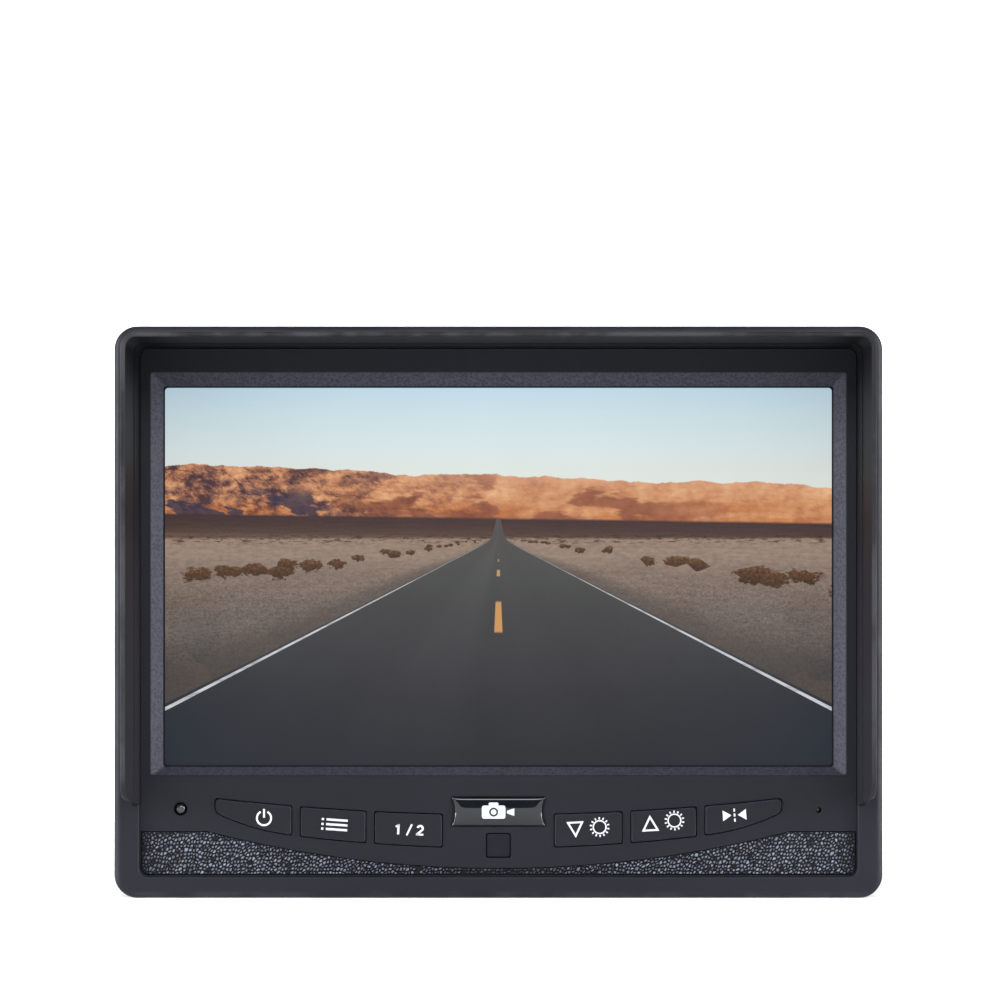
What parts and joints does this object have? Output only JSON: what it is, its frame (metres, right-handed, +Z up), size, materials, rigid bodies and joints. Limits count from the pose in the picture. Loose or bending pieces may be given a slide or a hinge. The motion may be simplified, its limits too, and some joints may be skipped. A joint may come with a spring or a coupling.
{
  "type": "rear-view monitor",
  "caption": "Flat upright rear-view monitor with a recessed wide screen, a curved key row under it and a three-sided sun hood that pulls off its front rim.",
  "frame": {"origin": "middle of the housing's width and depth, on the flat bottom face", "axes": "+X along the screen's width, to the viewer's right; -Y out of the screen, towards the viewer; +Z up"},
  "size_m": [0.1766, 0.0585, 0.1315],
  "materials": {
    "housing_plastic": "fine spark-eroded texture, dark graphite",
    "hood_plastic": "matt, dark graphite",
    "key_plastic": "matt, dark graphite with pale printed signs",
    "badge_plastic": "polished black",
    "filter_plastic": "polished, infra-red filter",
    "clear_plastic": "polished, clear",
    "screen_surface": "anti-glare film over the lit picture",
    "foam": "closed-cell foam",
    "steel": "galvanised sheet",
    "cell_glass": "polished",
    "white_sheet": "satin white film",
    "acrylic": "polished, clear",
    "lamp": "cast resin",
    "flex": "polyimide film",
    "cream_plastic": "moulded",
    "board": "green solder mask",
    "black_plastic": "moulded",
    "plunger_plastic": "moulded",
    "black_steel": "black zinc",
    "zinc_steel": "bright zinc",
    "aluminium_can": "satin",
    "ribbon": "grey insulation",
    "brass": "turned",
    "socket_metal": "nickel plate",
    "pin_metal": "gold plate",
    "speaker_steel": "black paint",
    "paper_cone": "pressed pulp",
    "magnet": "sintered",
    "wire": "insulation"
  },
  "bodies": {
    "housing": {"front_frame": "housing_plastic", "rear_cover": "housing_plastic", "badge": "badge_plastic", "ir_window": "filter_plastic", "led_lens": "clear_plastic", "power_lamp": "lamp", "light_sensor": "clear_plastic", "ir_receiver": "black_plastic", "screen_gasket": "foam", "lcd_frame": "steel", "polarizer_film": "screen_surface", "lcd_cell": "cell_glass", "diffuser_sheets": "white_sheet", "light_guide": "acrylic", "backlight_lamps": "lamp", "lcd_tray": "steel", "lcd_flex": "flex", "lcd_flex_socket": "cream_plastic", "chassis_plate": "steel", "chassis_screws": "zinc_steel", "key_board": "board", "key_board_screws": "zinc_steel", "key_board_header": "cream_plastic", "key_ribbon": "ribbon", "tact_switches": "black_plastic", "main_board": "board", "main_board_chips": "black_plastic", "main_board_screws": "zinc_steel", "board_connectors": "cream_plastic", "capacitors": "aluminium_can", "inductors": "black_plastic", "shield_can": "steel", "speaker_basket": "speaker_steel", "speaker_cone": "paper_cone", "speaker_cap": "paper_cone", "speaker_magnet": "magnet", "speaker_gasket": "foam", "speaker_screws": "zinc_steel", "speaker_leads": "wire", "mount_inserts": "brass", "cover_screws": "black_steel", "inlet_shell": "socket_metal", "inlet_insert": "black_plastic", "inlet_pins": "pin_metal"},
    "hood": {"sun_hood": "hood_plastic"},
    "key_power": {"key_power": "key_plastic", "plunger_power": "plunger_plastic"},
    "key_menu": {"key_menu": "key_plastic", "plunger_menu": "plunger_plastic"},
    "key_input": {"key_input": "key_plastic", "plunger_input": "plunger_plastic"},
    "key_dimmer": {"key_dimmer": "key_plastic", "plunger_dimmer": "plunger_plastic"},
    "key_brighter": {"key_brighter": "key_plastic", "plunger_brighter": "plunger_plastic"},
    "key_mirror": {"key_mirror": "key_plastic", "plunger_mirror": "plunger_plastic"}
  },
  "joints": [
    {"name": "hood_pull", "type": "slide", "parent": "housing", "child": "hood", "axis": [0, -1, 0], "range_m": [0, 0.02]},
    {"name": "press_power", "type": "slide", "parent": "housing", "child": "key_power", "axis": [0, 1, 0], "range_m": [0, 0.0005], "stiffness_N_per_m": 1500},
    {"name": "press_menu", "type": "slide", "parent": "housing", "child": "key_menu", "axis": [0, 1, 0], "range_m": [0, 0.0005], "stiffness_N_per_m": 1500},
    {"name": "press_input", "type": "slide", "parent": "housing", "child": "key_input", "axis": [0, 1, 0], "range_m": [0, 0.0005], "stiffness_N_per_m": 1500},
    {"name": "press_dimmer", "type": "slide", "parent": "housing", "child": "key_dimmer", "axis": [0, 1, 0], "range_m": [0, 0.0005], "stiffness_N_per_m": 1500},
    {"name": "press_brighter", "type": "slide", "parent": "housing", "child": "key_brighter", "axis": [0, 1, 0], "range_m": [0, 0.0005], "stiffness_N_per_m": 1500},
    {"name": "press_mirror", "type": "slide", "parent": "housing", "child": "key_mirror", "axis": [0, 1, 0], "range_m": [0, 0.0005], "stiffness_N_per_m": 1500}
  ]
}
